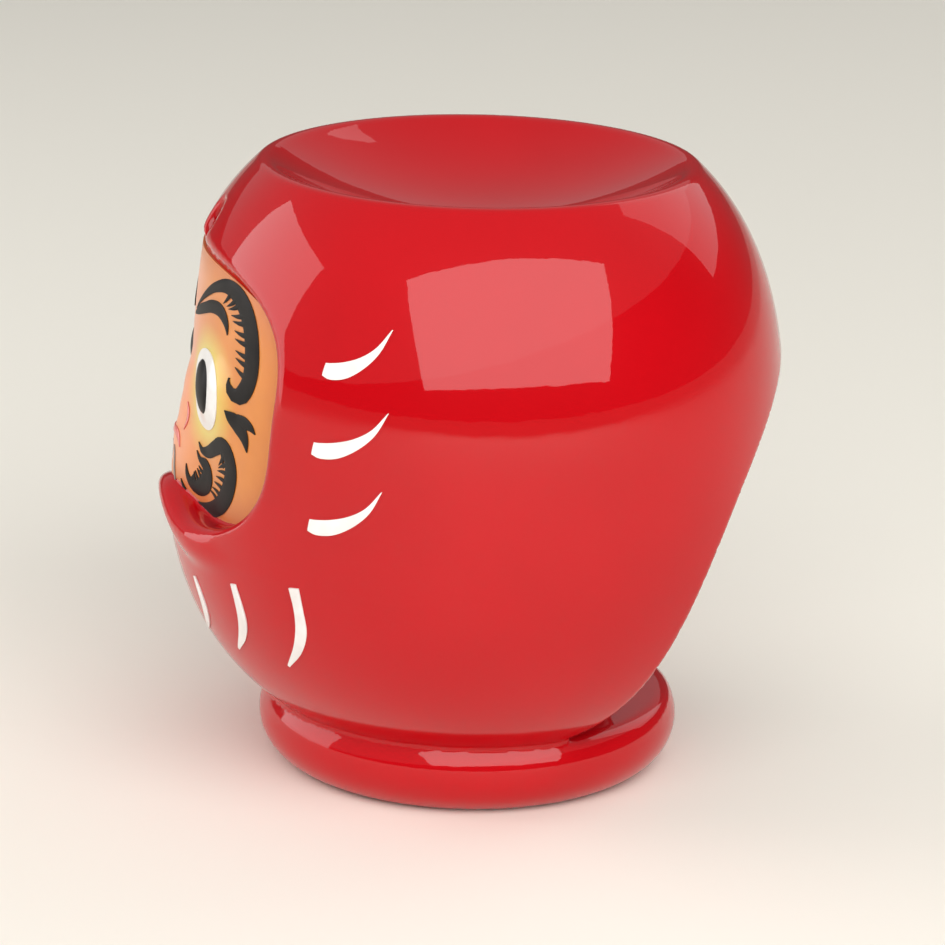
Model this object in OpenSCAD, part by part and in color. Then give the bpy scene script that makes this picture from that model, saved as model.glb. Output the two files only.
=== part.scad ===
// Glazed slip-cast wax burner in the form of a daruma doll.
// The doll faces -Y, its own left is +X, and it stands on Z = 0.
// The round dish on top holds oil or wax. A tealight goes in through the big round
// opening at the back and stands on the chamber floor.

/* [Body] */
// Height from the table to the crest of the dish rim
height = 106; // [104:0.5:108]
// Widest radius of the body
belly_r = 53.3; // [52:0.1:54]
// Height of the widest ring
belly_z = 58; // [56:0.5:60]
// Fall of the curve below the widest ring, before it would close
belly_drop = 53.9; // [53:0.1:55]
// Rise of the curve above the widest ring, before it would close
belly_rise = 59; // [58:0.1:60]
// Fullness of the barrel curve, 2 is an ellipse
fullness = 2.5; // [2.4:0.05:2.6]
// Thickness of the ceramic wall
wall = 4.6; // [4:0.1:5]

/* [Foot] */
// Radius of the foot ring's centre line
foot_r = 28.8; // [28:0.1:29.5]
// Radius of the foot ring's round section
foot_t = 7.8; // [7.6:0.05:8]
// Radius of the hollow under the foot
hollow_r = 23; // [20:0.5:24]
// Depth of the hollow under the foot
hollow_h = 7.8; // [6:0.1:8]
// Height of the chamber floor
floor_z = 12.6; // [12.4:0.1:12.8]

/* [Dish] */
// Radius of the rim's crest line
rim_r = 36.7; // [36.2:0.1:37.2]
// Radius of the rim's rounding
rim_t = 1.3; // [1:0.1:1.5]
// Slope of the dish where it leaves the rim, in degrees
dish_slope = 31; // [28:1:34]

/* [Back opening and vent] */
// Radius of the round opening at the back
back_r = 39; // [38:0.5:40]
// Height of that opening's centre
back_z = 35.2; // [34:0.1:36]
// Radius of the vent hole above the face
vent_r = 3.7; // [3:0.1:4]
// Height where the vent's axis crosses the outer wall
vent_z = 95.8; // [95:0.1:96.5]
// Upward tilt of the vent's axis, in degrees
vent_tilt = 34; // [30:1:38]

/* [Face] */
// Half of the width of the face opening
face_a = 36.3; // [35:0.1:37]
// Half of the height of the face opening
face_b = 22.8; // [22:0.1:23.5]
// Height of the middle of the face opening
face_z = 69; // [68:0.1:70]
// Squareness of the face opening, 2 is an ellipse
face_sq = 3.2; // [2.8:0.1:3.6]
// Height of the rise in the middle of the lower lip
lip_rise = 4.4; // [3:0.1:5]
// How far the lower lip stands out of the body
lip_out = 1.1; // [0.5:0.1:1.3]
// Radius of the eyeball's sphere
eye_r = 11; // [10.5:0.1:11.5]
// Distance of each eye from the middle of the face
eye_x = 13.6; // [13:0.1:14]
// Height of the eyes
eye_z = 69.5; // [69:0.1:70]
// Thickness of one layer of fired enamel
coat = 0.3; // [0.25:0.05:0.35]

/* [Tealight] */
// Radius of the aluminium cup
cup_r = 19; // [18.5:0.1:19.5]
// Height of the aluminium cup
cup_h = 16; // [15:0.5:18]
// Thickness of the cup's sheet
cup_t = 0.4; // [0.3:0.05:0.5]
// Depth of the wax below the cup's rim
wax_drop = 2.2; // [1:0.1:3]

/* [Hidden] */
$fn = 96;
steps = 26;              // stretches of the barrel curve
near = 20;               // distance from the axis where upright cutters start
far = 70;                // distance from the axis where they end
neck_z = floor_z;        // groove between the foot ring and the body
collar_z = height - 1.6; // top of the barrel curve, just under the rim
foot_flat = 2;           // half width of the flat ring that the burner stands on
lip_z = face_z - face_b; // lowest line of the face opening
lip_w = 12;              // width of the rise in the lower lip
front_r = 200;           // radius of the gentle curve of the face, seen from the side
front_z = 64;            // height where the face stands furthest forward
front_max = 48.4;        // distance of the face from the axis there
muzzle_r = 14.2;         // sphere under the nose and the mouth
muzzle_y = 37.2;
muzzle_z = 54.2;
nose_r = 4.4;            // sphere of the nose tip
nose_y = 45.7;
nose_z = 61.6;
eye_y = 36.2;            // distance of the eyeballs' centres from the axis
eye_white_r = 6.9;       // radius of the white of the eye
pupil_r = 4.6;
pupil_in = 0.3;          // how far the pupils are set towards the nose
hair_w = 0.62;           // half width of a brow or beard hair at its root
hood_t = 2.5;            // wall around the face pocket, inside the chamber
dip = 2.6;               // most that the face leans back from its widest distance
wick_r = 0.9;
wick_out = 5;            // length of the wick above the wax, less its holder
holder_r = 6.4;          // disc of the wick holder
holder_t = 0.5;
neck_r = 1.8;            // neck of the wick holder
neck_h = 3.8;
dish_r = (rim_r - rim_t * sin(dish_slope)) / sin(dish_slope);
dish_z = height - rim_t + (rim_t + dish_r) * cos(dish_slope);
floor_h = floor_z + 0.2; // height of the tealight's base, clear of the floor

SIDES = ["left", "right"];

// Radius of the barrel curve at height z, moved outwards by grow
function barrel(z, grow = 0) =
    let (reach = (z < belly_z ? belly_drop : belly_rise) + grow)
    (belly_r + grow) * pow(1 - pow(abs(z - belly_z) / reach, fullness), 1 / fullness);

// Points up the barrel curve from height z0 to height z1
function barrel_points(z0, z1, grow = 0, n = steps) = [
    for (i = [0:n])
        let (z = z0 + (z1 - z0) * i / n)
        [barrel(z, grow), z]
];

// A cubic curve through four control points, and its direction
function bez(p, t) =
    pow(1 - t, 3) * p[0] + 3 * t * pow(1 - t, 2) * p[1] + 3 * t * t * (1 - t) * p[2] + pow(t, 3) * p[3];
function bez_dir(p, t) =
    let (d = 3 * pow(1 - t, 2) * (p[1] - p[0]) + 6 * t * (1 - t) * (p[2] - p[1]) + 3 * t * t * (p[3] - p[2]))
    d / norm(d);

// Half width of a brush stroke at t, from start, belly and end widths
function swell(w, t) = pow(1 - t, 2) * w[0] + 2 * t * (1 - t) * w[1] + t * t * w[2];

// Outline of a brush stroke along the curve p
function stroke_points(p, w, n = 10) = concat(
    [for (i = [0:n]) let (t = i / n, d = bez_dir(p, t)) bez(p, t) + swell(w, t) * [-d[1], d[0]]],
    [for (i = [n:-1:0]) let (t = i / n, d = bez_dir(p, t)) bez(p, t) - swell(w, t) * [-d[1], d[0]]]
);

// Outline of the face opening, seen from the front
function face_points(grow = 0, n = 40) = [
    for (i = [0:n - 1])
        let (
            a = 360 * (i + 0.5) / n,
            x = (face_a + grow) * sign(cos(a)) * pow(abs(cos(a)), 2 / face_sq),
            v = (face_b + grow) * sign(sin(a)) * pow(abs(sin(a)), 2 / face_sq),
            rise = v < 0 ? lip_rise * exp(-pow(x / lip_w, 2)) * min(1, -2 * v / face_b) : 0
        )
        [x, face_z + v + rise]
];

// Turns a flat outline to stand upright at the front, deep enough to pass through the outer wall
module upright() {
    translate([0, -near, 0])
        rotate([90, 0, 0])
            linear_extrude(far - near)
                children();
}

module brush(p, w) {
    upright()
        polygon(stroke_points(p, w));
}

// A stroke whose first end is a full round
module round_brush(p, w) {
    brush(p, w);
    translate([p[0][0], -near, p[0][1]])
        rotate([90, 0, 0])
            cylinder(r = w[0], h = far - near);
}

// Row of short tapered hairs that leave the curve p sideways between two places on it
module hairs(p, count, from, to, reach, lean) {
    for (i = [0:count - 1]) {
        t = from + (to - from) * i / (count - 1);
        d = bez_dir(p, t);
        side = [d[1], -d[0]];
        root = bez(p, t);
        tip = root + reach * (cos(lean) * side + sin(lean) * d);
        upright()
            polygon([root - hair_w * d, tip, root + hair_w * d]);
    }
}

// Solid barrel without foot, rim and dish, moved outwards by grow
module barrel_form(grow = 0) {
    rotate_extrude()
        polygon(concat([[0, neck_z]], barrel_points(neck_z, collar_z, grow), [[0, collar_z]]));
}

// Solid of revolution of the whole outside: foot ring, barrel, rim and dish
module outside() {
    rotate_extrude()
        polygon(concat(
            [[0, 0], [foot_r + foot_flat, 0]],
            [for (a = [-72:12:36]) [foot_r + foot_t * cos(a), foot_t + foot_t * sin(a)]],
            barrel_points(neck_z, collar_z),
            [for (a = [0:15:90 + dish_slope]) [rim_r + rim_t * cos(a), height - rim_t + rim_t * sin(a)]],
            [for (a = [dish_slope:-4:1]) [dish_r * sin(a), dish_z - dish_r * cos(a)]],
            [[0, dish_z - dish_r]]
        ));
}

// Rolled lower lip of the hood, a part of a ring around the body
module lower_lip() {
    lip_t = 3;
    intersection() {
        rotate_extrude()
            translate([barrel(lip_z) + lip_out - lip_t, lip_z + 1.6])
                circle(r = lip_t);
        upright()
            polygon([[-26, lip_z - 3], [26, lip_z - 3], [22, lip_z + 6], [-22, lip_z + 6]]);
    }
    intersection() {
        rotate_extrude()
            translate([barrel(lip_z) + lip_out - lip_t, lip_z + 3.2])
                circle(r = lip_t - 0.4);
        upright()
            polygon([[-9, lip_z - 1], [9, lip_z - 1], [6, lip_z + 7], [-6, lip_z + 7]]);
    }
}

// Forehead, cheeks, eyes, nose and mouth as one solid, moved outwards by grow
module face_form(grow = 0) {
    rotate_extrude()
        intersection() {
            translate([front_max - front_r, front_z])
                circle(r = front_r + grow, $fn = 360);
            translate([0, 20])
                square([60, 80]);
        }
    difference() {
        union() {
            for (side = [-1, 1])
                translate([side * eye_x, -eye_y, eye_z])
                    sphere(r = eye_r + grow);
            translate([0, -muzzle_y, muzzle_z])
                sphere(r = muzzle_r + grow);
            translate([0, -nose_y, nose_z])
                sphere(r = nose_r + grow);
        }
        cylinder(r = front_max - 6, h = height);
    }
}

// Space under the hood in front of the face
module face_recess() {
    difference() {
        upright()
            polygon(face_points());
        face_form();
    }
}

// Chamber for the tealight, kept a wall's thickness away from everything outside
module chamber() {
    difference() {
        rotate_extrude()
            polygon(concat([[0, floor_z]], barrel_points(floor_z, height - 9, -wall), [[0, height - 9]]));
        translate([0, 0, dish_z])
            sphere(r = dish_r + wall, $fn = 180);
        difference() {
            upright()
                polygon(face_points(hood_t));
            cylinder(r = front_max - dip - wall, h = height);
        }
    }
}

module ceramic_body() {
    color([0.84, 0.02, 0.05])
        difference() {
            union() {
                outside();
                lower_lip();
            }
            face_recess();
            chamber();
            back_opening();
            vent();
            foot_hollow();
        }
}

// Round opening at the back, cut flat at the chamber floor
module back_opening() {
    intersection() {
        translate([0, 10, back_z])
            rotate([-90, 0, 0])
                cylinder(r = back_r, h = 60);
        translate([-50, 0, floor_z])
            cube([100, 80, 80]);
    }
}

module vent() {
    translate([0, -barrel(vent_z), vent_z])
        rotate([90 - vent_tilt, 0, 0])
            translate([0, 0, -14])
                cylinder(r = vent_r, h = 20);
}

// Hollow under the floor, with a bevelled mouth inside the standing ring
module foot_hollow() {
    translate([0, 0, -1])
        cylinder(r = hollow_r, h = hollow_h + 1);
    cylinder(r1 = foot_r - foot_flat, r2 = hollow_r, h = 3);
}

// One layer of enamel on the face, between two offsets, inside the children's outline
module on_face(low, high) {
    difference() {
        intersection() {
            face_form(high);
            children();
        }
        face_form(low);
    }
}

// One layer of enamel on the outside, inside the children's outline
module on_body() {
    difference() {
        intersection() {
            barrel_form(coat);
            children();
        }
        barrel_form();
    }
}

module one_side(side) {
    mirror([side == "left" ? 0 : 1, 0, 0])
        children();
}

module face_glaze() {
    color([0.93, 0.55, 0.24])
        on_face(0, coat)
            upright()
                polygon(face_points());
}

module eye_white(side) {
    color([0.95, 0.95, 0.93])
        one_side(side)
            on_face(coat, 2 * coat)
                translate([eye_x, -near, eye_z])
                    rotate([90, 0, 0])
                        cylinder(r = eye_white_r, h = far - near);
}

module pupil(side) {
    color([0.08, 0.07, 0.07])
        one_side(side)
            on_face(2 * coat, 3 * coat)
                translate([eye_x - pupil_in, -near, eye_z])
                    rotate([90, 0, 0])
                        cylinder(r = pupil_r, h = far - near);
}

module outer_brow(side) {
    brow = [[6, 82.7], [17, 93.5], [33, 86], [25, 71.6]];
    brow_end = 1.3;
    color([0.08, 0.07, 0.07])
        one_side(side)
            on_face(coat, 2 * coat) {
                union() {
                    brush(brow, [0.2, 1.8, brow_end]);
                    translate([brow[3][0], -near, brow[3][1]])
                        rotate([90, 0, 0])
                            cylinder(r = brow_end, h = far - near);
                    hairs(brow, 10, 0.46, 0.92, 3.4, -20);
                }
            }
}

module inner_brow(side) {
    color([0.08, 0.07, 0.07])
        one_side(side)
            on_face(coat, 2 * coat)
                brush([[6.2, 81.4], [11, 83.6], [18, 87], [20.3, 80.9]], [0.7, 1.4, 0.1]);
}

module temple_mark(side) {
    color([0.08, 0.07, 0.07])
        one_side(side)
            on_face(coat, 2 * coat) {
                union() {
                    brush([[22.2, 68.1], [24.5, 67.6], [26.6, 65.6], [27.1, 62.5]], [0.1, 2.4, 0.1]);
                    brush([[24.9, 67.7], [26.4, 67.6], [27.8, 67], [28.7, 66.1]], [1, 1.2, 0.1]);
                }
            }
}

module beard(side) {
    sweep = [[17.8, 60.8], [26.5, 64], [25, 46], [5.6, 48.6]];
    tail = [[18, 60.8], [15.5, 58.8], [13, 58], [11.2, 59.2]];
    heart = [[12.2, 57], [17.6, 57.4], [14.2, 49.5], [8, 53.4]];
    clear = 0.3;         // gap between the paint and the lower lip
    color([0.08, 0.07, 0.07])
        one_side(side)
            on_face(coat, 2 * coat)
                intersection() {
                    upright()
                        polygon(face_points(-clear));
                    union() {
                        brush(sweep, [1.3, 2, 0.4]);
                        brush(tail, [1.2, 1, 0.1]);
                        brush(heart, [0.5, 2.6, 0.3]);
                        hairs(sweep, 7, 0.2, 0.66, 3.1, 20);
                        hairs(heart, 5, 0.3, 0.75, 2.4, -10);
                    }
                }
}

module nose_line(side) {
    color([0.86, 0.25, 0.25])
        one_side(side)
            on_face(coat, 2 * coat)
                brush([[3.4, 65.2], [4.8, 64], [5.6, 62], [5.3, 60.2]], [0.15, 0.5, 0.2]);
}

module mouth_line() {
    color([0.82, 0.16, 0.16])
        on_face(coat, 2 * coat) {
            union() {
                for (side = SIDES)
                    one_side(side)
                        brush([[-0.3, 58.8], [1.8, 59], [3.4, 58.6], [4.7, 56.8]], [0.6, 0.7, 0.2]);
            }
        }
}

module chin_line(side) {
    color([0.2, 0.17, 0.16])
        one_side(side)
            on_face(coat, 2 * coat)
                brush([[1.8, 56.4], [2.6, 55], [3, 53.2], [2.9, 51.4]], [0.2, 0.45, 0.2]);
}

// White comma on the side of the body: rank 0 is the upper, 2 is the lower
module side_stroke(side, rank) {
    comma_turn = 61;
    z = 80.1 - 13 * rank;
    k = rank == 0 ? 1 : 1.26;
    color([0.96, 0.94, 0.92])
        one_side(side)
            on_body()
                rotate([0, 0, comma_turn])
                    round_brush([[-5.6 * k, z], [-1.6 * k, z], [3.4 * k, z + 2.6], [5.9 * k, z + 7.6]], [1.3, 1.5, 0.12]);
}

// White upright arc on the belly: rank 0 is nearest to the middle, 2 is the outer
module belly_stroke(side, rank) {
    turn = 19 + 15.8 * rank;
    z = 32 + 1.6 * rank;
    reach = 5.4 + 1.1 * rank;
    tip = 0.5 + 0.3 * rank;
    arc = [[0, z + reach], [1.4, z + reach / 3], [0.8, z - reach / 2], [-4.3, z - reach]];
    color([0.96, 0.94, 0.92])
        one_side(side)
            on_body()
                rotate([0, 0, turn])
                    brush(arc, [tip, 1.2, 0.3]);
}

module candle_cup() {
    color([0.8, 0.8, 0.82])
        translate([0, 0, floor_h])
            rotate_extrude()
                polygon([
                    [0, 0], [cup_r - 1, 0], [cup_r, 1], [cup_r, cup_h - 0.6], [cup_r + 0.5, cup_h - 0.3],
                    [cup_r + 0.5, cup_h], [cup_r - cup_t, cup_h], [cup_r - cup_t, cup_t + 1],
                    [cup_r - 1 - cup_t, cup_t], [0, cup_t]
                ]);
}

module candle_wax() {
    wax_top = cup_h - wax_drop;
    color([0.96, 0.94, 0.88])
        translate([0, 0, floor_h])
            difference() {
                rotate_extrude()
                    polygon([
                        [0, cup_t], [cup_r - 1 - cup_t, cup_t], [cup_r - cup_t, cup_t + 1],
                        [cup_r - cup_t, wax_top + 0.7], [cup_r - cup_t - 1.6, wax_top], [0, wax_top]
                    ]);
                cylinder(r = wick_r, h = cup_h);
                cylinder(r = holder_r, h = cup_t + holder_t);
                cylinder(r = neck_r, h = cup_t + neck_h);
            }
}

module wick_holder() {
    color([0.72, 0.72, 0.74])
        translate([0, 0, floor_h + cup_t])
            difference() {
                union() {
                    cylinder(r = holder_r, h = holder_t);
                    cylinder(r = neck_r, h = neck_h);
                }
                translate([0, 0, holder_t])
                    cylinder(r = wick_r, h = neck_h);
            }
}

module candle_wick() {
    color([0.9, 0.88, 0.82])
        translate([0, 0, floor_h + cup_t + holder_t])
            cylinder(r = wick_r, h = cup_h - wax_drop + wick_out);
}

ceramic_body();
face_glaze();
for (side = SIDES) {
    eye_white(side);
    pupil(side);
    outer_brow(side);
    inner_brow(side);
    temple_mark(side);
    beard(side);
    nose_line(side);
    chin_line(side);
    side_stroke(side, 0);
    side_stroke(side, 1);
    side_stroke(side, 2);
    belly_stroke(side, 0);
    belly_stroke(side, 1);
    belly_stroke(side, 2);
}
mouth_line();
candle_cup();
candle_wax();
candle_wick();
wick_holder();
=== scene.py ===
import math

import bpy
import numpy as np
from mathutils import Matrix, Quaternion, Vector


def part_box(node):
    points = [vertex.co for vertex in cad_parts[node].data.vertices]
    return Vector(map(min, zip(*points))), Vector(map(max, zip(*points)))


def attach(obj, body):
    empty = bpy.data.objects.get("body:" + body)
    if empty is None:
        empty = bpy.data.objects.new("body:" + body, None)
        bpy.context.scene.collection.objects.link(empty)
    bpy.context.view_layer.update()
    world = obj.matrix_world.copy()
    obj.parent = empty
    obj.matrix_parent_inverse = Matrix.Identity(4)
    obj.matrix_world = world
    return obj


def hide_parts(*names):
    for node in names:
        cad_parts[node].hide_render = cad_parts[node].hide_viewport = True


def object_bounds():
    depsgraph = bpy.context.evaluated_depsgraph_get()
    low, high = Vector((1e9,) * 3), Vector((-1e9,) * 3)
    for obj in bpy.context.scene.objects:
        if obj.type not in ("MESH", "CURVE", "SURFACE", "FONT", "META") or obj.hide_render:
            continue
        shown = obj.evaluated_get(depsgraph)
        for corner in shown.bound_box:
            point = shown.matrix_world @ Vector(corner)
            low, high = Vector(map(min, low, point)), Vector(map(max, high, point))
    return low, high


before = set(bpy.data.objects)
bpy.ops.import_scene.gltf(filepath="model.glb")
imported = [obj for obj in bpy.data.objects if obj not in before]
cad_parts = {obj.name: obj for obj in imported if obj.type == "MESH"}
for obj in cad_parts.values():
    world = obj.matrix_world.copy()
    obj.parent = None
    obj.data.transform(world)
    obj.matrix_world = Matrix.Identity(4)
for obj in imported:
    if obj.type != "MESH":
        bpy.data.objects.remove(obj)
cadLow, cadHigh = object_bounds()
mm = 0.001
print("frame loaded", [round(v, 4) for v in cadHigh - cadLow])


# form of the burner

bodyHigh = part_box("ceramic_body")[1] / mm

burnerForm = {                      # millimetres, from the foot ring's centre on the table
    "height": bodyHigh.z,
    "bellyRadius": bodyHigh.x, "bellyZ": 58, "bellyDrop": 53.9, "bellyRise": 59, "fullness": 2.5,
    "wall": 4.6, "floorZ": 12.6, "floorSoft": 1.0, "roomTop": 9, "roomSoft": 2.0, "domeSoft": 3,
    "footRadius": 28.8, "footRound": 7.8, "footZ": 7.56, "footSoft": 0.5, "grooveSoft": 0.7,
    "hollowRadius": 23, "hollowTop": 7.8, "bevelWide": 3.8, "bevelTall": 3, "bevelSoft": 1.0,
    "rimSoft": 1.7, "crestSoft": 0.3, "dishRadius": 70.0, "dishZ": 166.2,
    "backRadius": 39, "backZ": 35.2, "backStart": 8, "backSoft": 1.4,
    "ventRadius": 3.7, "ventZ": 95.8, "ventTilt": 34, "ventIn": 4, "ventHalf": 10, "ventSoft": 1.1,
    "hoodWide": 36.3, "hoodTall": 22.8, "hoodZ": 69, "hoodPower": 3.2, "hoodSoft": 2.6,
    "hoodWall": 2.5, "hoodDepth": 40, "pocketSoft": 1.1, "softEdge": 0.8,
    "lipRise": 4.4, "lipWide": 12, "lipRound": 2.5, "lipOut": 1.0, "lipSoft": 3.0, "lipUp": 0.35,
    "lipFadeStart": 17, "lipFadeWide": 13, "lipFade": 3.2,
}
farGap = 40.0                       # stands for a part that isn't on this side of the burner
faceRelief = {                      # x, distance from the axis, z, radius
    "eye": (13.6, 36.2, 69.5, 11.0),
    "muzzle": (0, 37.2, 54.2, 14.2),
    "noseTip": (0, 45.7, 61.6, 4.4),
    "noseWing": (2.9, 45.3, 60.9, 3.2),
    "noseRoot": (0, 44.3, 66.2, 4.5),
    "upperLip": (0, 46.9, 57.6, 4.1),
    "chin": (0, 46.4, 50.8, 4.9),
}
faceSoft = {"muzzle": 4, "noseRoot": 4, "noseWing": 1.6, "noseTip": 1.8,
            "upperLip": 1.6, "chin": 2.4, "eye": 1.6}
faceCurve = {"widest": 48.4, "height": 64, "bend": 200}     # the face as a whole, seen from the side


def softMin(a, b, soft):
    h = np.clip(soft - np.abs(a - b), 0, None) / soft
    return np.minimum(a, b) - h * h * soft / 4


def softMax(a, b, soft):
    return -softMin(-a, -b, soft)


def ovalGap(u, v, wide, tall, power):   # how far a point is outside an oval, near enough
    pu, pv = np.abs(u) / wide, np.abs(v) / tall
    size = (pu ** power + pv ** power) ** (1 / power) + 1e-9
    slope = np.hypot((pu / size) ** (power - 1) / wide, (pv / size) ** (power - 1) / tall)
    return (size - 1) / slope


def barrelGap(r, z, grow=0.0):
    b = burnerForm
    reach = np.where(z < b["bellyZ"], b["bellyDrop"], b["bellyRise"]) + grow
    return ovalGap(r, z - b["bellyZ"], b["bellyRadius"] + grow, reach, b["fullness"])


def barrelRadius(z):
    b = burnerForm
    reach = np.where(z < b["bellyZ"], b["bellyDrop"], b["bellyRise"])
    rise = (np.abs(z - b["bellyZ"]) / reach) ** b["fullness"]
    return b["bellyRadius"] * np.clip(1 - rise, 0, None) ** (1 / b["fullness"])


def lipRise(x, v):                      # how far the hood's lower edge rises, v below its middle
    b = burnerForm
    return b["lipRise"] * np.exp(-(x / b["lipWide"]) ** 2) * np.clip(-2 * v / b["hoodTall"], 0, 1)


def hoodGap(x, z, grow=0.0):            # outline of the face opening, seen from the front
    b = burnerForm
    v = z - b["hoodZ"]
    return ovalGap(x, v - lipRise(x, v), b["hoodWide"] + grow, b["hoodTall"] + grow, b["hoodPower"])


def ballGap(x, y, z, ball):
    cx, cy, cz, radius = ball
    return np.sqrt((np.abs(x) - cx) ** 2 + (y + cy) ** 2 + (z - cz) ** 2) - radius


def faceGap(x, y, z):
    f = faceRelief
    c = faceCurve
    skin = np.hypot(np.hypot(x, y) + c["bend"] - c["widest"], z - c["height"]) - c["bend"]
    for feature, soft in faceSoft.items():
        skin = softMin(skin, ballGap(x, y, z, f[feature]), soft)
    return skin


def lipGap(x, y, z, r):                 # rolled lower lip, faded out towards its ends
    b = burnerForm
    edge = b["hoodZ"] - b["hoodTall"] + b["lipRise"] * np.exp(-(x / b["lipWide"]) ** 2)
    centre = edge - b["lipRound"] + b["lipUp"]
    fade = np.clip((np.abs(x) - b["lipFadeStart"]) / b["lipFadeWide"], 0, 1)
    out = r - barrelRadius(centre) - b["lipOut"] + b["lipRound"]
    return np.where(y > 0, farGap, np.hypot(out, z - centre) - b["lipRound"] + b["lipFade"] * fade ** 2)


def roomGap(x, y, z, r):                # the chamber, kept clear of the dish and the hood
    b = burnerForm
    ceiling = np.hypot(r, z - b["dishZ"]) - b["dishRadius"] - b["wall"]
    room = softMax(barrelGap(r, z, -b["wall"]), -ceiling, b["domeSoft"])
    room = softMax(room, b["floorZ"] - z, b["roomSoft"])
    room = softMax(room, z - b["height"] + b["roomTop"], b["roomSoft"])
    hoodWall = softMax(hoodGap(x, z, b["hoodWall"]), b["hoodDepth"] - r, b["roomSoft"])
    return softMax(room, -np.where(y < 0, hoodWall, farGap), b["hoodWall"])


def ventGap(x, y, z):
    b = burnerForm
    tilt, wallY = math.radians(b["ventTilt"]), float(barrelRadius(b["ventZ"]))
    along = -(y + wallY) * math.cos(tilt) + (z - b["ventZ"]) * math.sin(tilt)
    across = (y + wallY) * math.sin(tilt) + (z - b["ventZ"]) * math.cos(tilt)
    return np.maximum(np.hypot(x, across) - b["ventRadius"], np.abs(along + b["ventIn"]) - b["ventHalf"])


def hollowGap(z, r):                    # hollow under the floor, with a bevelled mouth
    b = burnerForm
    slant = r - b["hollowRadius"] - b["bevelWide"] + z * b["bevelWide"] / b["bevelTall"]
    bevel = slant / math.hypot(1, b["bevelWide"] / b["bevelTall"])
    return np.maximum(softMin(r - b["hollowRadius"], bevel, b["bevelSoft"]), z - b["hollowTop"])


def burnerGap(x, y, z):                 # below nought inside the ceramic
    b = burnerForm
    r = np.hypot(x, y)
    foot = np.hypot(np.clip(r - b["footRadius"], 0, None), z - b["footZ"]) - b["footRound"]
    shell = softMin(barrelGap(r, z), softMax(foot, -z, b["footSoft"]), b["grooveSoft"])
    dish = np.hypot(r, z - b["dishZ"]) - b["dishRadius"]
    shell = softMax(softMax(shell, -dish, b["rimSoft"]), z - b["height"], b["crestSoft"])
    shell = softMin(shell, lipGap(x, y, z, r), b["lipSoft"])
    pocket = softMin(-hoodGap(x, z), faceGap(x, y, z), b["pocketSoft"])
    shell = np.where(y < 0, softMax(shell, pocket, b["hoodSoft"]), shell)
    shell = softMax(shell, -roomGap(x, y, z, r), b["softEdge"])
    back = np.maximum(np.hypot(x, z - b["backZ"]) - b["backRadius"], b["backStart"] - y)
    shell = softMax(shell, -softMax(back, b["floorZ"] - z, b["floorSoft"]), b["backSoft"])
    shell = softMax(shell, -ventGap(x, y, z), b["ventSoft"])
    return softMax(shell, -hollowGap(z, r), b["softEdge"])


rays = {"steps": 90, "stride": 0.7, "frontStart": -60.0, "frontReach": 40, "sideStart": 70, "sideReach": 60}


def gapSlope(gap, p, step=0.02):
    return np.stack([
        (gap(*(p + step * unit).T) - gap(*(p - step * unit).T)) / (2 * step)
        for unit in np.eye(3)], 1)


def settleOn(gap, p, lift=0.0, rounds=8, limit=0.5):    # walks points onto the surface
    for _ in range(rounds):
        slope = gapSlope(gap, p)
        size = np.maximum((slope ** 2).sum(1), 0.05)
        move = slope * ((gap(*p.T) - lift) / size)[:, None]
        far = np.linalg.norm(move, axis=1)[:, None]
        p = p - move * np.minimum(1, limit / np.maximum(far, 1e-9))
    return p


def firstHit(surface, start, direction, lift, reach):    # steps along rays until they meet the surface
    p, travelled = start.copy(), np.zeros(len(start))
    for _ in range(rays["steps"]):
        gap = surface(*p.T) - lift
        step = np.where(travelled > reach, 0, gap * rays["stride"])
        p = p + direction * step[:, None]
        travelled = travelled + step
    return p


# helpers

def clearSelection():
    if bpy.context.object and bpy.context.object.mode != "OBJECT":
        bpy.ops.object.mode_set(mode="OBJECT")
    bpy.ops.object.select_all(action="DESELECT")


def pick(*pieces):
    clearSelection()
    for piece in pieces:
        piece.select_set(True)
    bpy.context.view_layer.objects.active = pieces[0]


def applyModifiers(piece):
    pick(piece)
    for modifier in list(piece.modifiers):
        bpy.ops.object.modifier_apply(modifier=modifier.name)


def readPoints(piece):
    points = np.empty(len(piece.data.vertices) * 3)
    piece.data.vertices.foreach_get("co", points)
    return points.reshape(-1, 3) / mm


def writePoints(piece, points):
    piece.data.vertices.foreach_set("co", (points * mm).ravel())
    piece.data.update()


def newGrid(name, across, along):       # a flat grid, its points numbered row by row
    clearSelection()
    bpy.ops.mesh.primitive_grid_add(x_subdivisions=across - 1, y_subdivisions=along - 1, size=2)
    piece = bpy.context.object
    piece.name = piece.data.name = name
    return piece


def finishPiece(piece, body, slotName, material, *nodes):
    pick(piece)
    bpy.ops.object.transform_apply(location=True, rotation=True, scale=True)
    piece.data.materials.clear()
    piece.data.materials.append(material)
    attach(piece, body)
    if nodes:
        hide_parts(*nodes)


# materials

def newMaterial(name):
    material = bpy.data.materials.new(name)
    material.use_nodes = True
    tree = material.node_tree
    return material, tree, tree.nodes["Principled BSDF"]


def addNode(tree, kind, **settings):
    node = tree.nodes.new(kind)
    for key, value in settings.items():
        setattr(node, key, value)
    return node


def noiseNode(tree, scale, detail=2.0, roughness=0.5):
    place = addNode(tree, "ShaderNodeTexCoord")
    noise = addNode(tree, "ShaderNodeTexNoise")
    noise.inputs["Scale"].default_value = scale
    noise.inputs["Detail"].default_value = detail
    noise.inputs["Roughness"].default_value = roughness
    tree.links.new(place.outputs["Object"], noise.inputs["Vector"])
    return noise


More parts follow.
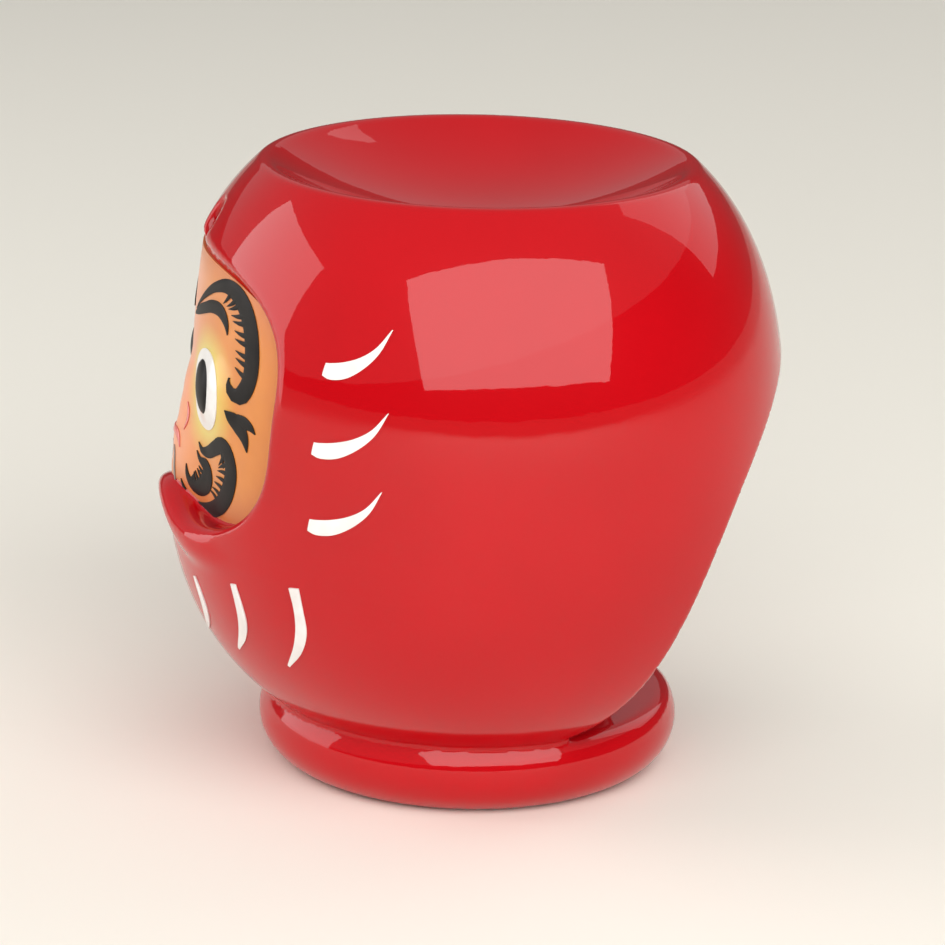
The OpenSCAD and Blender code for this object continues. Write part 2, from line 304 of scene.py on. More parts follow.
def rampNode(tree, source, stops):
    ramp = addNode(tree, "ShaderNodeValToRGB")
    while len(ramp.color_ramp.elements) < len(stops):
        ramp.color_ramp.elements.new(0.5)
    for element, (place, colour) in zip(ramp.color_ramp.elements, stops):
        element.position = place
        element.color = (*colour, 1)
    tree.links.new(source, ramp.inputs["Fac"])
    return ramp


def bumpNode(tree, heights, strength, distance):
    bump = addNode(tree, "ShaderNodeBump")
    bump.inputs["Strength"].default_value = strength
    bump.inputs["Distance"].default_value = distance
    tree.links.new(heights, bump.inputs["Height"])
    return bump


redGlazeLook = {"deep": (0.44, 0.0005, 0.0036), "body": (0.48, 0.0007, 0.0045),
                "bright": (0.52, 0.0010, 0.0055),
                "places": (0.25, 0.5, 0.8), "roughness": 0.3, "coat": 0.82, "coatRoughness": 0.025}


def makeRedGlaze():
    look = redGlazeLook
    material, tree, shader = newMaterial("red gloss glaze")
    pooling = noiseNode(tree, 22, 3)
    stops = zip(look["places"], (look["deep"], look["body"], look["bright"]))
    colour = rampNode(tree, pooling.outputs["Fac"], list(stops))
    tree.links.new(colour.outputs["Color"], shader.inputs["Base Color"])
    shader.inputs["Roughness"].default_value = look["roughness"]
    shader.inputs["Coat Weight"].default_value = look["coat"]
    shader.inputs["Coat Roughness"].default_value = look["coatRoughness"]
    shader.inputs["Specular IOR Level"].default_value = 0.02
    peel = noiseNode(tree, 260, 2)
    bump = bumpNode(tree, peel.outputs["Fac"], 0.05, 0.0002)
    tree.links.new(bump.outputs["Normal"], shader.inputs["Coat Normal"])
    tree.links.new(bump.outputs["Normal"], shader.inputs["Normal"])
    return material


def makeEnamel(name, low, high, roughness=0.32, coat=0.6, scale=260, mirror=0.5):
    material, tree, shader = newMaterial(name)
    strokes = noiseNode(tree, scale, 3)
    colour = rampNode(tree, strokes.outputs["Fac"], [(0.3, low), (0.7, high)])
    tree.links.new(colour.outputs["Color"], shader.inputs["Base Color"])
    shader.inputs["Roughness"].default_value = roughness
    shader.inputs["Coat Weight"].default_value = coat
    shader.inputs["Coat Roughness"].default_value = 0.12
    shader.inputs["Specular IOR Level"].default_value = mirror
    bump = bumpNode(tree, strokes.outputs["Fac"], 0.08, 0.0001)
    tree.links.new(bump.outputs["Normal"], shader.inputs["Normal"])
    return material


redGlaze = makeRedGlaze()
paints = {
    "black_enamel": makeEnamel(
        "black enamel", (0.007, 0.005, 0.005), (0.014, 0.011, 0.010), 0.5, 0.06, mirror=0.15),
    "white_enamel": makeEnamel("white enamel", (0.78, 0.74, 0.72), (0.88, 0.86, 0.84)),
    "red_enamel": makeEnamel("red enamel line", (0.62, 0.10, 0.08), (0.72, 0.16, 0.13)),
    "grey_enamel": makeEnamel("grey enamel line", (0.16, 0.14, 0.13), (0.26, 0.23, 0.21)),
}
print("materials ready")


# ceramic body

bodyMesh = {"voxel": 0.75, "keep": 0.56, "rounds": 10, "lastRounds": 2}


def makeBody():
    clearSelection()
    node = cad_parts["ceramic_body"]
    piece = node.copy()
    piece.data = node.data.copy()
    piece.parent = None
    for key in list(piece.keys()):
        del piece[key]
    bpy.context.scene.collection.objects.link(piece)
    piece.name = piece.data.name = "glazed_burner_body"
    pick(piece)
    bpy.ops.object.mode_set(mode="EDIT")
    bpy.ops.mesh.select_all(action="SELECT")
    bpy.ops.mesh.remove_doubles(threshold=0.00001)
    bpy.ops.object.mode_set(mode="OBJECT")
    remesh = piece.modifiers.new("even skin", "REMESH")
    remesh.mode = "VOXEL"
    remesh.voxel_size = bodyMesh["voxel"] * mm
    applyModifiers(piece)
    writePoints(piece, settleOn(burnerGap, readPoints(piece), rounds=bodyMesh["rounds"]))
    thin = piece.modifiers.new("fewer faces", "DECIMATE")
    thin.ratio = bodyMesh["keep"]
    applyModifiers(piece)
    writePoints(piece, settleOn(burnerGap, readPoints(piece), rounds=bodyMesh["lastRounds"]))
    return piece


body = makeBody()
gaps = np.abs(burnerGap(*readPoints(body).T))
print("body settled,", len(gaps), "points, worst gap", round(float(gaps.max()), 3), "mm")
pick(body)
bpy.ops.object.shade_smooth()
finishPiece(body, "burner", "red_glaze", redGlaze, "ceramic_body")


# painted pieces

coat = {"skin": 0.2, "mark": 0.34, "eye": 0.34, "pupil": 0.46, "stroke": 0.20, "depth": 0.42,
        "crown": 0.10, "crownWide": 0.6, "crownLeast": 0.2, "thinnest": 0.03}


def squareToOval(u, v, wide, tall, power):      # a square grid bent to fill an oval
    edge = np.maximum(np.maximum(np.abs(u), np.abs(v)), 1e-9)
    du, dv = u / edge, v / edge
    size = np.maximum((np.abs(du) ** power + np.abs(dv) ** power) ** (1 / power), 1e-9)
    return u / size * wide, v / size * tall


def fromFront(x, z, lift):                  # lays flat points on the face, straight from the front
    start = np.stack([x, np.full_like(x, rays["frontStart"]), z], 1)
    forward = np.tile([0.0, 1.0, 0.0], (len(x), 1))
    return firstHit(faceGap, start, forward, lift, rays["frontReach"])


def fromSide(x, z, lift, turn):             # the same, wrapped round the body from a turn about its axis
    a = math.radians(turn) + x / barrelRadius(z)
    inward = np.stack([-np.sin(a), np.cos(a), np.zeros_like(a)], 1)
    start = -rays["sideStart"] * inward
    start[:, 2] = z
    return firstHit(burnerGap, start, inward, lift, rays["sideReach"])


def smoothLine(points, count, fineness=24):     # a smooth curve through points, evenly stepped
    p = np.array(points, float)
    p = np.vstack([2 * p[0] - p[1], p, 2 * p[-1] - p[-2]])
    fine = []
    for i in range(1, len(p) - 2):
        t = np.linspace(0, 1, fineness, endpoint=False)[:, None]
        a, b, c, d = p[i - 1], p[i], p[i + 1], p[i + 2]
        square, cube = 2 * a - 5 * b + 4 * c - d, 3 * b - a - 3 * c + d
        fine.append(0.5 * (2 * b + (c - a) * t + square * t ** 2 + cube * t ** 3))
    fine = np.vstack(fine + [p[-2]])
    run = np.r_[0, np.cumsum(np.hypot(*np.diff(fine[:, :2], axis=0).T))]
    at = np.linspace(0, run[-1], count)
    return np.stack([np.interp(at, run, fine[:, k]) for k in range(fine.shape[1])], 1)


def strokeShape(points, along, roundEnd=False):     # centre line with its half widths, and its direction
    line = smoothLine(points, along)
    if roundEnd:
        ahead = line[-1, :2] - line[-2, :2]
        ahead /= np.linalg.norm(ahead)
        turn = np.linspace(0, math.pi / 2, 7)[1:]
        cap = np.stack([np.sin(turn), np.sin(turn), np.cos(turn)], 1) * line[-1, 2]
        cap[:, :2] *= ahead
        cap[:, :2] += line[-1, :2]
        line = np.vstack([line, cap])
    slope = np.gradient(line[:, :2], axis=0)
    return line, slope / (np.linalg.norm(slope, axis=1)[:, None] + 1e-9)


def paintStroke(points, lay, lift, along=30, across=7, roundEnd=False):
    line, slope = strokeShape(points, along, roundEnd)
    rows = len(line)
    piece = newGrid("stroke", across, rows)
    u = np.tile(np.linspace(-1, 1, across), rows)
    k = np.repeat(np.arange(rows), across)
    side = np.stack([slope[k, 1], -slope[k, 0]], 1)
    flat = line[k, :2] + side * (u * np.maximum(line[k, 2], coat["thinnest"]))[:, None]
    fullness = np.clip(line[k, 2] / coat["crownWide"], coat["crownLeast"], 1)
    writePoints(piece, lay(flat[:, 0], flat[:, 1], lift + coat["crown"] * (1 - u ** 4) * fullness))
    return piece


hairShape = {"steps": 60, "shortest": 0.86, "sunk": 0.6, "bend": 0.35, "middle": 0.62, "tip": 0.06}


def paintHairs(points, hairs):              # tapered hairs that leave a stroke sideways
    h = hairShape
    line, slope = strokeShape(points, h["steps"])
    count, pieces = hairs["count"], []
    for i in range(count):
        share = i / (count - 1)
        k = int((hairs["first"] + (hairs["last"] - hairs["first"]) * share) * (len(line) - 1))
        lean = math.radians(hairs["leanFirst"] + (hairs["leanLast"] - hairs["leanFirst"]) * share)
        out = np.array([slope[k, 1], -slope[k, 0]])
        away = math.cos(lean) * out + math.sin(lean) * slope[k]
        swell = (1 - h["shortest"]) * math.sin(math.pi * (i + 0.5) / count)
        long = hairs["reach"] * (h["shortest"] + swell)
        start = line[k, :2] + out * line[k, 2] * h["sunk"]
        middle = start + away * long * 0.5 - slope[k] * math.sin(lean) * h["bend"]
        root = hairs["root"]
        curve = [(*start, root), (*middle, root * h["middle"]), (*(start + away * long), h["tip"])]
        pieces.append(paintStroke(curve, fromFront, coat["mark"], along=8, across=5))
    return pieces


def joinPieces(name, pieces):
    pick(*pieces)
    if len(pieces) > 1:
        bpy.ops.object.join()
    piece = bpy.context.object
    piece.name = piece.data.name = name
    return piece


def giveDepth(piece):
    pick(piece)
    solid = piece.modifiers.new("fired layer", "SOLIDIFY")
    solid.thickness = coat["depth"] * mm
    solid.offset = -1
    applyModifiers(piece)
    bpy.ops.object.mode_set(mode="EDIT")
    bpy.ops.mesh.select_all(action="SELECT")
    bpy.ops.mesh.remove_doubles(threshold=0.000004)
    bpy.ops.mesh.normals_make_consistent(inside=False)
    bpy.ops.object.mode_set(mode="OBJECT")
    bpy.ops.object.shade_smooth_by_angle(angle=math.radians(50))


def otherSide(piece, name):                 # a mirrored copy with its own mesh
    pick(piece)
    bpy.ops.object.duplicate()
    twin = bpy.context.object
    twin.name = twin.data.name = name
    twin.scale.x = -1
    bpy.ops.object.transform_apply(location=True, rotation=True, scale=True)
    bpy.ops.object.mode_set(mode="EDIT")
    bpy.ops.mesh.select_all(action="SELECT")
    bpy.ops.mesh.normals_make_consistent(inside=False)
    bpy.ops.object.mode_set(mode="OBJECT")
    return twin


def paintBothSides(name, pieces, slotName, node):
    left = joinPieces("left_" + name, pieces)
    giveDepth(left)
    right = otherSide(left, "right_" + name)
    finishPiece(left, "burner", slotName, paints[slotName], "left_" + node)
    finishPiece(right, "burner", slotName, paints[slotName], "right_" + node)


faceSkin = {"across": 121, "along": 91, "inset": 0.5, "rimShadeWide": 0.18,
            "haloRadius": 6.6, "haloWide": 4.2, "haloDrop": 0.3, "haloTall": 1.12, "haloFall": 1.3,
            "blushWide": 9.5, "blushLow": 44, "blushTall": 12}


def makeFaceSkin():
    b, f = burnerForm, faceSkin
    piece = newGrid("orange_face", f["across"], f["along"])
    flat = readPoints(piece) * mm
    wide, tall = b["hoodWide"] - f["inset"], b["hoodTall"] - f["inset"]
    x, v = squareToOval(flat[:, 0], flat[:, 1], wide, tall, b["hoodPower"])
    z = b["hoodZ"] + v + lipRise(x, v)
    writePoints(piece, fromFront(x, z, coat["skin"]))
    eye = faceRelief["eye"]
    fromEye = np.hypot(np.abs(x) - eye[0], (z - eye[2] + f["haloDrop"]) / f["haloTall"])
    halo = np.clip(1 - np.abs(fromEye - f["haloRadius"]) / f["haloWide"], 0, 1) ** f["haloFall"]
    blush = np.exp(-(x / f["blushWide"]) ** 2) * np.clip((z - f["blushLow"]) / f["blushTall"], 0, 1)
    # painted shade: a band along the face's outer edge, where it meets the hood wall, is marked for a darker
    # orange
    fromMiddle = np.maximum(np.abs(flat[:, 0]), np.abs(flat[:, 1]))
    edge = np.clip((fromMiddle - 1 + f["rimShadeWide"]) / f["rimShadeWide"], 0, 1)
    for key, amount in (("halo", halo), ("blush", blush), ("edge", edge)):
        layer = piece.data.attributes.new(key, "FLOAT", "POINT")
        layer.data.foreach_set("value", amount.astype(np.float32))
    giveDepth(piece)
    return piece


# the edge colour is painted shade in the crease along the hood wall
faceLook = {"base": (0.71, 0.235, 0.032), "second": (0.63, 0.195, 0.026), "halo": (0.74, 0.56, 0.12),
            "blush": (0.86, 0.33, 0.17), "edge": (0.62, 0.17, 0.03)}


def makeFaceEnamel():
    material, tree, shader = newMaterial("orange face enamel")
    cloud = noiseNode(tree, 90, 3)
    ramp = rampNode(tree, cloud.outputs["Fac"], [(0.3, faceLook["second"]), (0.65, faceLook["base"])])
    colour = ramp.outputs["Color"]
    # the last mix lays the painted shade along the hood wall
    for key in ("blush", "halo", "edge"):
        layer = addNode(tree, "ShaderNodeAttribute", attribute_name=key)
        mix = addNode(tree, "ShaderNodeMix", data_type="RGBA")
        mix.inputs[7].default_value = (*faceLook[key], 1)
        tree.links.new(layer.outputs["Fac"], mix.inputs[0])
        tree.links.new(colour, mix.inputs[6])
        colour = mix.outputs[2]
    tree.links.new(colour, shader.inputs["Base Color"])
    shader.inputs["Roughness"].default_value = 0.38
    shader.inputs["Coat Weight"].default_value = 0.35
    shader.inputs["Coat Roughness"].default_value = 0.14
    fine = noiseNode(tree, 420, 2)
    bump = bumpNode(tree, fine.outputs["Fac"], 0.06, 0.0001)
    tree.links.new(bump.outputs["Normal"], shader.inputs["Normal"])
    return material


finishPiece(makeFaceSkin(), "burner", "face_enamel", makeFaceEnamel(), "face_glaze")
print("face skin laid")

# strokes on the doll's left half of the face: x, z and half width, in millimetres
outerBrow = [(3.2, 80.9, 0.08), (6.0, 82.8, 0.3), (11.3, 85.9, 0.75), (14.7, 87.5, 0.95), (18.4, 88.5, 1.25),
             (21.7, 88.0, 1.55), (24.2, 86.3, 1.65), (26.0, 83.6, 1.6), (27.0, 80.2, 1.55), (27.3, 76.8, 1.55),
             (26.8, 73.9, 1.55), (25.5, 71.8, 1.6), (23.9, 71.3, 1.25), (22.6, 72.3, 0.6), (22.2, 73.8, 0.08)]
innerBrow = [(2.6, 80.0, 0.3), (6.2, 81.4, 0.85), (10.3, 82.8, 1.0), (13.4, 83.8, 1.1), (16.1, 84.1, 1.15),
             (17.9, 83.7, 1.1), (19.2, 82.8, 0.85), (20.0, 81.7, 0.5), (20.3, 80.6, 0.08)]
temple = [(22.1, 68.2, 0.08), (23.3, 67.3, 1.2), (24.9, 66.3, 1.5), (26.1, 65.1, 1.2), (26.7, 63.9, 0.75),
          (27.1, 62.3, 0.08)]
templeTip = [(24.7, 67.3, 1.0), (26.4, 67.2, 1.1), (27.8, 66.8, 0.7), (28.9, 65.9, 0.08)]
beardSweep = [(11.2, 59.6, 0.08), (12.6, 58.5, 0.6), (15.0, 58.9, 1.1), (17.6, 60.3, 1.3), (19.8, 61.4, 1.5),
              (21.4, 61.1, 1.65), (22.4, 59.7, 1.65), (22.8, 57.8, 1.6), (22.3, 55.5, 1.65), (20.8, 52.8, 1.7),
              (18.2, 50.3, 1.55), (13.8, 48.3, 1.3), (9.6, 47.6, 1.1), (7.0, 48.5, 0.85), (5.9, 49.9, 0.5),
              (5.4, 51.4, 0.08)]
beardCore = [(10.9, 58.0, 0.08), (12.0, 56.8, 0.5), (13.6, 56.3, 1.15), (14.5, 55.2, 1.5), (14.2, 53.8, 1.7),
             (12.9, 52.3, 1.6), (11.1, 51.4, 1.35), (9.4, 51.5, 1.1), (8.4, 52.4, 0.75), (8.0, 53.6, 0.4),
             (7.9, 54.8, 0.08)]
noseLine = [(4.0, 64.6, 0.1), (4.9, 63.2, 0.32), (5.3, 61.6, 0.36), (4.9, 60.0, 0.1)]
mouthLine = [(-0.05, 58.9, 0.55), (1.8, 58.9, 0.62), (3.4, 58.2, 0.5), (4.7, 56.8, 0.1)]
chinLine = [(1.8, 56.4, 0.1), (2.5, 54.2, 0.28), (2.9, 51.6, 0.3), (2.9, 48.9, 0.1)]

# hairs: first and last are shares of the stroke's length, lean is in degrees
browHairs = {"count": 10, "first": 0.44, "last": 0.82, "leanFirst": -34, "leanLast": -8,
             "reach": 3.3, "root": 0.55}
sweepHairs = {"count": 8, "first": 0.27, "last": 0.62, "leanFirst": 4, "leanLast": 34,
              "reach": 3.3, "root": 0.5}
coreHairs = {"count": 6, "first": 0.3, "last": 0.8, "leanFirst": -12, "leanLast": 6,
             "reach": 2.1, "root": 0.42}


def faceStroke(points, along=30, across=7, roundEnd=False):
    return paintStroke(points, fromFront, coat["mark"], along, across, roundEnd)


brow = [faceStroke(outerBrow, 44, 9, roundEnd=True)] + paintHairs(outerBrow, browHairs)
paintBothSides("outer_brow_paint", brow, "black_enamel", "outer_brow")
paintBothSides("inner_brow_paint", [faceStroke(innerBrow)], "black_enamel", "inner_brow")
leaf = [faceStroke(temple, 20), faceStroke(templeTip, 12)]
paintBothSides("temple_leaf_paint", leaf, "black_enamel", "temple_mark")
beard = [faceStroke(beardSweep, 52, 9), faceStroke(beardCore, 28, 9)]
beard += paintHairs(beardSweep, sweepHairs) + paintHairs(beardCore, coreHairs)
paintBothSides("beard_paint", beard, "black_enamel", "beard")
paintBothSides("nose_wing_line", [faceStroke(noseLine, 18, 5)], "red_enamel", "nose_line")
paintBothSides("chin_side_line", [faceStroke(chinLine, 16, 5)], "grey_enamel", "chin_line")
halfMouth = faceStroke(mouthLine, 20)
giveDepth(halfMouth)
mouth = joinPieces("mouth_paint", [halfMouth, otherSide(halfMouth, "mouth_half")])
finishPiece(mouth, "burner", "red_enamel", paints["red_enamel"], "mouth_line")
print("brows, beard and mouth painted")

eyePaint = {"whiteRadius": 6.9, "whiteDome": 0.12, "whiteGrid": 33,
            "pupilRadius": 4.6, "pupilIn": 0.3, "pupilUp": 0.4, "pupilDome": 0.6, "pupilGrid": 29}


def paintDisc(x, z, radius, lift, dome, count):
    piece = newGrid("disc", count, count)
    flat = readPoints(piece) * mm
    dx, dz = squareToOval(flat[:, 0], flat[:, 1], radius, radius, 2)
    far = np.clip(np.hypot(dx, dz) / radius, 0, 1)
    writePoints(piece, fromFront(x + dx, z + dz, lift + dome * np.sqrt(1 - far ** 2)))
    return piece


eye = eyePaint
eyeX, _, eyeZ, _ = faceRelief["eye"]
white = paintDisc(eyeX, eyeZ, eye["whiteRadius"], coat["eye"], eye["whiteDome"], eye["whiteGrid"])
paintBothSides("eye_white_paint", [white], "white_enamel", "eye_white")
pupilX, pupilZ = eyeX - eye["pupilIn"], eyeZ + eye["pupilUp"]
pupil = paintDisc(pupilX, pupilZ, eye["pupilRadius"], coat["pupil"], eye["pupilDome"], eye["pupilGrid"])
paintBothSides("pupil_paint", [pupil], "black_enamel", "pupil")
print("eyes painted")

# white commas on the sides and arcs on the belly: x runs round the body from each turn about its axis
sideComma = [(-5.6, 0.3, 1.05), (-4.2, 0.1, 1.3), (-1.6, 0.6, 1.28), (1.4, 2.1, 0.9), (3.9, 4.3, 0.5),
             (5.9, 7.6, 0.07)]
commaRows = {"turn": 61, "top": 80.6, "step": 13.0, "stretch": (0.95, 1.12, 1.12), "slide": (0.7, 0.6, 0.1),
             "names": ("upper", "middle", "lower")}
bellyArc = [(0.1, 1, 0.45), (0.6, 0.5, 0.95), (0.45, 0, 1.1), (-1.2, -0.5, 0.85), (-4.3, -1, 0.25)]
arcRow = {"turn": 19, "turnStep": 15.8, "z": 32, "zStep": 1.6, "half": 5.6, "halfStep": 1.15, "tipStep": 0.3,
          "names": ("inner", "middle", "outer")}


def bodyStroke(points, turn, along):
    return paintStroke(points, lambda x, z, lift: fromSide(x, z, lift, turn), coat["stroke"], along, 9)


for rank, place in enumerate(commaRows["names"]):
    z = commaRows["top"] - commaRows["step"] * rank
    stretch, slide = commaRows["stretch"][rank], commaRows["slide"][rank]
    comma = [(x * stretch + slide, z + rise, wide) for x, rise, wide in sideComma]
    stroke = bodyStroke(comma, commaRows["turn"], 34)
    paintBothSides("side_comma_" + place, [stroke], "white_enamel", "side_stroke_" + place)

for rank, place in enumerate(arcRow["names"]):
    z = arcRow["z"] + arcRow["zStep"] * rank
    half = arcRow["half"] + arcRow["halfStep"] * rank
    arc = [(x, z + half * rise, wide) for x, rise, wide in bellyArc]
    arc[0] = (*arc[0][:2], arc[0][2] + arcRow["tipStep"] * rank)
    stroke = bodyStroke(arc, arcRow["turn"] + arcRow["turnStep"] * rank, 30)
    paintBothSides("belly_arc_" + place, [stroke], "white_enamel", "belly_stroke_" + place)
print("body strokes painted")


# tealight: pressed cup, poured wax, wick in its tinned foot

cupLow, cupHigh = [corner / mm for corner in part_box("candle_cup")]
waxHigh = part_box("candle_wax")[1] / mm
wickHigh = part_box("candle_wick")[1] / mm

tealight = {"around": 360, "waxAround": 144, "wickAround": 24, "footAround": 96, "rimOut": 0.5, "sheet": 0.4,
            "flutes": 45, "fluteDepth": 0.24, "fluteLow": 2.2, "fluteHigh": 13.6, "fluteFade": 1.2,
            "waxClear": 0.02, "waxEdge": 0.7, "hole": 0.95, "footHole": 6.46, "neckHole": 1.86, "neckTop": 4.3,
            "wickRadius": 0.78, "wickRows": 110, "wickTaper": 0.25, "wickRipple": 0.08, "wickTwist": 1.9,
            "strands": 3, "wickLean": 0.5, "wickStart": 0.56}
cupRadius = cupHigh.x - tealight["rimOut"]      # of the wall, without the rolled rim
cupTall = cupHigh.z - cupLow.z
waxTop = waxHigh.z - cupLow.z - tealight["waxEdge"]     # of the flat wax, below its raised edge
wickTop = wickHigh.z - cupLow.z


def makeMetal(name, low, high, roughness):
    material, tree, shader = newMaterial(name)
    rolling = noiseNode(tree, 340, 3)
    colour = rampNode(tree, rolling.outputs["Fac"], [(0.3, low), (0.7, high)])
    tree.links.new(colour.outputs["Color"], shader.inputs["Base Color"])
    shader.inputs["Metallic"].default_value = 1
    shader.inputs["Roughness"].default_value = roughness
    bump = bumpNode(tree, rolling.outputs["Fac"], 0.12, 0.0001)
    tree.links.new(bump.outputs["Normal"], shader.inputs["Normal"])
    return material


def makeWaxLook():
    material, tree, shader = newMaterial("paraffin wax")
    cloud = noiseNode(tree, 60, 3)
    colour = rampNode(tree, cloud.outputs["Fac"], [(0.3, (0.86, 0.84, 0.78)), (0.7, (0.92, 0.90, 0.85))])
    tree.links.new(colour.outputs["Color"], shader.inputs["Base Color"])
    shader.inputs["Roughness"].default_value = 0.42
    shader.inputs["Subsurface Weight"].default_value = 0.25
    shader.inputs["Subsurface Scale"].default_value = 0.002
    bump = bumpNode(tree, cloud.outputs["Fac"], 0.15, 0.0003)
    tree.links.new(bump.outputs["Normal"], shader.inputs["Normal"])
    return material


def turnedPiece(name, profile, around):     # a grid and its places once rolled round the axis
    rows = len(profile)
    piece = newGrid(name, around + 1, rows)
    r, z = np.repeat(np.array(profile, float), around + 1, axis=0).T
    a = np.tile(np.linspace(0, 2 * math.pi, around + 1), rows)
    return piece, r, z, a


def closeTurned(piece, r, z, a, lean=0.0):  # rolls it, and closes its seam and its poles
    writePoints(piece, np.stack([r * np.cos(a) + lean, r * np.sin(a), z + cupLow.z], 1))
    pick(piece)
    bpy.ops.object.mode_set(mode="EDIT")
    bpy.ops.mesh.select_all(action="SELECT")
    bpy.ops.mesh.remove_doubles(threshold=0.000002)
    bpy.ops.mesh.normals_make_consistent(inside=False)
    bpy.ops.object.mode_set(mode="OBJECT")
    bpy.ops.object.shade_smooth_by_angle(angle=math.radians(40))


def makeCup():                              # profiles: distance from the axis, height above the cup's base
    t, c, top = tealight, cupRadius, cupTall
    s = t["sheet"]
    w = c - s                               # inner face of the wall
    outside = [(0, 0.3), (6, 0.25), (c - 4, 0.02), (c - 1.6, 0), (c - 0.7, 0.25), (c - 0.2, 0.8),
               (c - 0.05, 1.6), (c, 2.6), (c, 5), (c, 8), (c, 11), (c, top - 2), (c, top - 1.2),
               (c + 0.12, top - 0.75), (c + 0.42, top - 0.5)]
    inside = [(c + 0.5, top - 0.25), (c + 0.36, top - 0.04), (c + 0.05, top), (c - 0.2, top - 0.14),
              (w, top - 0.6), (w, top - 2), (w, 11), (w, 8), (w, 5), (w, 2.6), (w - 0.05, 1.8),
              (w - 0.25, 1.1), (w - 0.8, s + 0.25), (w - 1.6, s), (c - 4, s), (6.6, s), (0, s)]
    profile = smoothLine(outside, 34).tolist() + smoothLine(inside, 36).tolist()
    piece, r, z, a = turnedPiece("pressed_tealight_cup", profile, t["around"])
    above = np.clip((z - t["fluteLow"]) / t["fluteFade"], 0, 1)
    below = np.clip((t["fluteHigh"] - z) / t["fluteFade"], 0, 1)
    share = np.clip(r - c + 1, 0, 1) * above * below
    closeTurned(piece, r - t["fluteDepth"] * share * (0.5 + 0.5 * np.cos(a * t["flutes"])), z, a)
    return piece


def makeWax():
    t, s = tealight, tealight["sheet"]
    c, hole = cupRadius - s - t["fluteDepth"] - t["waxClear"], t["hole"]
    top = [(hole, waxTop + 0.35), (1.5, waxTop + 0.1), (2.6, waxTop), (8, waxTop - 0.05), (c - 3, waxTop),
           (c - 1.4, waxTop + 0.12), (c - 0.5, waxTop + 0.4), (c, waxTop + 0.68)]
    below = [(c, waxTop - 1), (c, 6), (c, 2.4), (c - 0.35, 1.3), (c - 1.2, s + 0.3), (c - 2.4, s + 0.04),
             (t["footHole"], s + 0.04), (t["footHole"], s + 0.55), (t["neckHole"], s + 0.6),
             (t["neckHole"], t["neckTop"]), (hole, t["neckTop"] + 0.1), (hole, waxTop + 0.35)]
    piece, r, z, a = turnedPiece("poured_wax", smoothLine(top, 30).tolist() + below, t["waxAround"])
    closeTurned(piece, r, z, a)
    return piece


def makeWick():
    t = tealight
    low = t["sheet"] + t["wickStart"]
    tall = np.linspace(low, wickTop, t["wickRows"])
    radius = t["wickRadius"] * (1 - t["wickTaper"] * np.clip(tall - wickTop + 1, 0, None) ** 2)
    profile = [(0, low), *zip(radius, tall), (0, wickTop + 0.05)]
    piece, r, z, a = turnedPiece("braided_wick", profile, t["wickAround"])
    ripple = t["wickRipple"] * np.cos(t["strands"] * (a - t["wickTwist"] * z)) * np.minimum(r, 1)
    free = np.clip((z - waxTop - 0.5) / (wickTop - waxTop - 0.5), 0, 1)
    closeTurned(piece, r + ripple, z, a, t["wickLean"] * free ** 2)
    return piece


def makeWickFoot():
    s = tealight["sheet"]
    profile = [(0, s + 0.02), (6.1, s + 0.02), (6.34, s + 0.1), (6.4, s + 0.26), (6.34, s + 0.42),
               (6.1, s + 0.5), (2.3, s + 0.5), (1.95, s + 0.6), (1.8, s + 0.85), (1.78, 3.9), (1.66, 4.14),
               (1.35, 4.18), (1.0, 4.1), (0.93, 3.9), (0.93, s + 0.54), (0, s + 0.54)]
    piece, r, z, a = turnedPiece("tinned_wick_foot", profile, tealight["footAround"])
    closeTurned(piece, r, z, a)
    return piece


aluminium = makeMetal("pressed aluminium", (0.78, 0.78, 0.80), (0.88, 0.88, 0.90), 0.24)
tin = makeMetal("tinned steel", (0.62, 0.62, 0.64), (0.74, 0.74, 0.76), 0.38)
cotton = makeEnamel("waxed cotton", (0.74, 0.70, 0.62), (0.90, 0.87, 0.80), 0.8, 0.05, 2400)
finishPiece(makeCup(), "tealight", "cup_aluminium", aluminium, "candle_cup")
finishPiece(makeWax(), "tealight", "paraffin_wax", makeWaxLook(), "candle_wax")
finishPiece(makeWick(), "tealight", "wick_cotton", cotton, "candle_wick")
finishPiece(makeWickFoot(), "tealight", "tinned_steel", tin, "wick_holder")
print("tealight made")


# floor, light and camera

stage = {"floorSize": 30.0, "floorColour": (0.92, 0.885, 0.795), "floorRoughness": 0.9,
         "roomColour": (1.0, 0.97, 0.93), "roomLight": 0.09,
         "ceilingLight": 0.95, "ceilingSpread": 150, "ceilingTilt": 12}
# azimuth and elevation in degrees, distance, width and height in metres, watts
panels = {
    "window_softbox": (100, 33, 1.0, 1.45, 0.86, 12.5),
    "front_card": (-14, 12, 0.9, 0.7, 0.9, 4.5),
    "back_fill": (215, 35, 1.2, 0.8, 0.8, 2),
}
shot = {"azimuth": 84, "distance": 0.7, "height": 0.2616, "aimHeight": 0.0504, "roll": 1.31, "lens": 160.74}

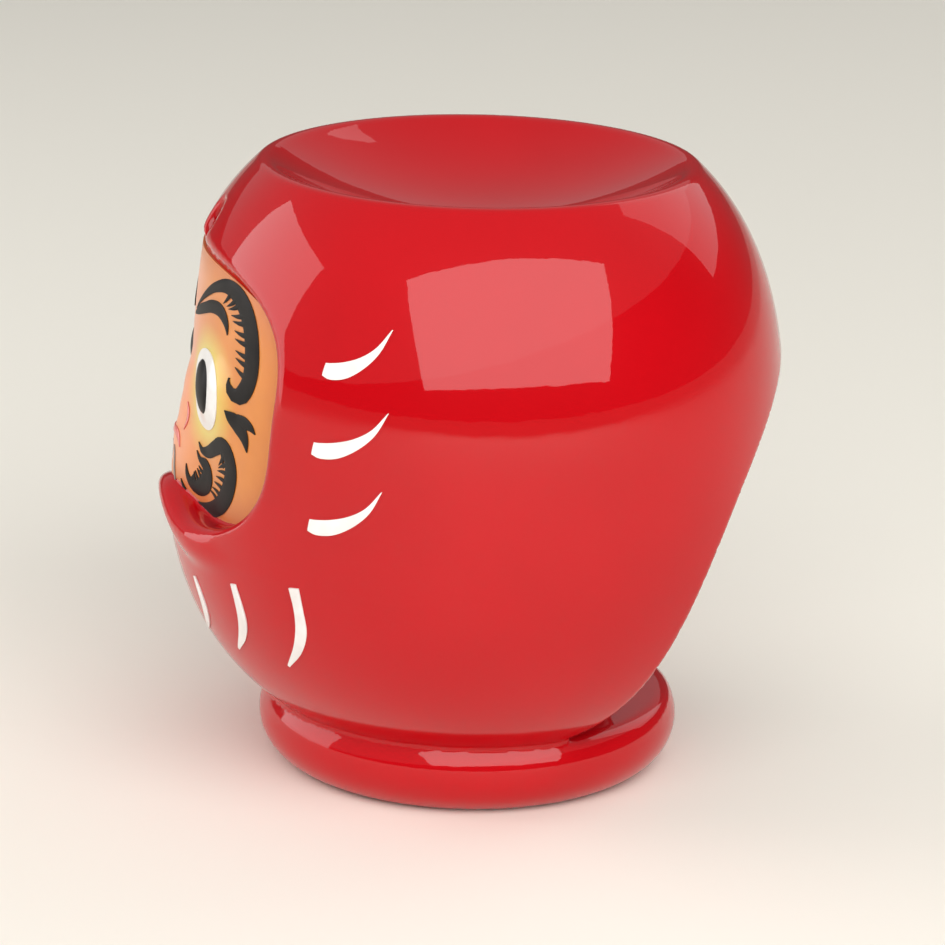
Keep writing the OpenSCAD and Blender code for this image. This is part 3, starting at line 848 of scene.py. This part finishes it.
bpy.ops.mesh.primitive_plane_add(size=stage["floorSize"], location=(0, 0, 0))
floor = bpy.context.object
floor.name = "studio_floor"
paper, paperTree, paperShader = newMaterial("pale paper sweep")
paperShader.inputs["Base Color"].default_value = (*stage["floorColour"], 1)
paperShader.inputs["Roughness"].default_value = stage["floorRoughness"]
floor.data.materials.append(paper)

world = bpy.data.worlds.new("soft room")
bpy.context.scene.world = world
world.use_nodes = True
room = world.node_tree.nodes["Background"]
room.inputs["Color"].default_value = (*stage["roomColour"], 1)
room.inputs["Strength"].default_value = stage["roomLight"]

aim = Vector((0, 0, (cadHigh.z + cadLow.z) / 2))
for name, (azimuth, elevation, distance, wide, tall, watts) in panels.items():
    a, e = math.radians(azimuth), math.radians(elevation)
    away = Vector((math.sin(a) * math.cos(e), -math.cos(a) * math.cos(e), math.sin(e)))
    bpy.ops.object.light_add(type="AREA", location=aim + away * distance)
    lamp = bpy.context.object
    lamp.name = name
    lamp.data.shape = "RECTANGLE"
    lamp.data.size, lamp.data.size_y = wide, tall
    lamp.data.energy = watts
    lamp.rotation_euler = (-away).to_track_quat("-Z", "Y").to_euler()

bpy.ops.object.light_add(type="SUN", location=(0, 0, 2))      # even light that reaches the far floor
ceiling = bpy.context.object
ceiling.name = "ceiling_light"
ceiling.data.energy = stage["ceilingLight"]
ceiling.data.angle = math.radians(stage["ceilingSpread"])
ceiling.rotation_euler = (math.radians(stage["ceilingTilt"]), 0, 0)

turn = math.radians(shot["azimuth"])
away = Vector((math.sin(turn), -math.cos(turn), 0)) * shot["distance"]
bpy.ops.object.camera_add(location=away + Vector((0, 0, shot["height"])))
camera = bpy.context.object
camera.name = "shop_camera"
look = Vector((0, 0, shot["aimHeight"])) - camera.location
level = look.to_track_quat("-Z", "Y")
camera.rotation_euler = (level @ Quaternion((0, 0, 1), math.radians(shot["roll"]))).to_euler()
camera.data.lens = shot["lens"]
camera.data.clip_start = 0.01
bpy.context.scene.camera = camera
bpy.context.scene.view_settings.view_transform = "Standard"
print("stage ready")
